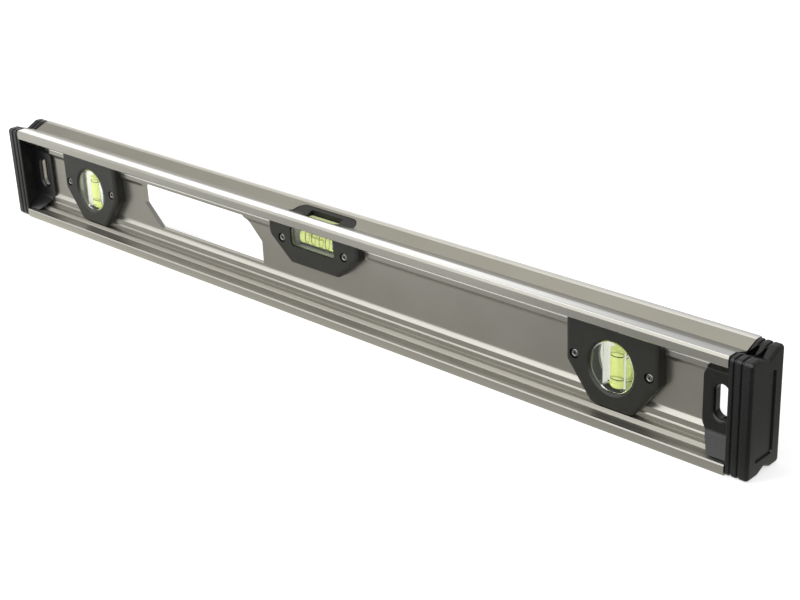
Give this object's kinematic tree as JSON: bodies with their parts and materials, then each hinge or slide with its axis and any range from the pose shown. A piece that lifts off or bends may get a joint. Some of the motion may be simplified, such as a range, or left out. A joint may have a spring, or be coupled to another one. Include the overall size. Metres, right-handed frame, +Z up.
{
  "type": "i-beam spirit level",
  "caption": "I-section aluminium spirit level with plumb and level vials, a V-grooved top face, a hand hole, hang slots and ribbed end caps.",
  "frame": {"origin": "under the middle of the beam, on the plane that the level stands on", "axes": "+X along the beam towards the end cap nearest the viewer in the picture, +Y from the front face with the screw heads to the rear face, +Z up from the flat bottom face to the V-grooved top face"},
  "size_m": [0.61, 0.03, 0.065],
  "materials": {
    "beam_metal": "satin grey anodised extrusion with bright milled working faces and edges",
    "cap_plastic": "fine-grained dark grey impact plastic",
    "cover_plastic": "fine-grained dark grey moulded plastic",
    "window_plastic": "dark grey moulded plastic",
    "clear_acrylic": "polished clear acrylic",
    "vial_liquid": "yellow-green liquid",
    "ring_ink": "dark graduation rings",
    "plug_plastic": "translucent sealing plug",
    "screw_steel": "nickel-plated steel"
  },
  "bodies": {
    "root": {"beam": "beam_metal", "left_end_cap": "cap_plastic", "right_end_cap": "cap_plastic", "top_window": "window_plastic", "left_front_cover": "cover_plastic", "left_rear_cover": "cover_plastic", "left_vial_block": "clear_acrylic", "left_vial_liquid": "vial_liquid", "left_vial_rings": "ring_ink", "left_vial_plug": "plug_plastic", "left_cover_screws": "screw_steel", "centre_front_cover": "cover_plastic", "centre_rear_cover": "cover_plastic", "centre_vial_block": "clear_acrylic", "centre_vial_liquid": "vial_liquid", "centre_vial_rings": "ring_ink", "centre_vial_plug": "plug_plastic", "centre_cover_screws": "screw_steel", "right_front_cover": "cover_plastic", "right_rear_cover": "cover_plastic", "right_vial_block": "clear_acrylic", "right_vial_liquid": "vial_liquid", "right_vial_rings": "ring_ink", "right_vial_plug": "plug_plastic", "right_cover_screws": "screw_steel"}
  },
  "joints": []
}
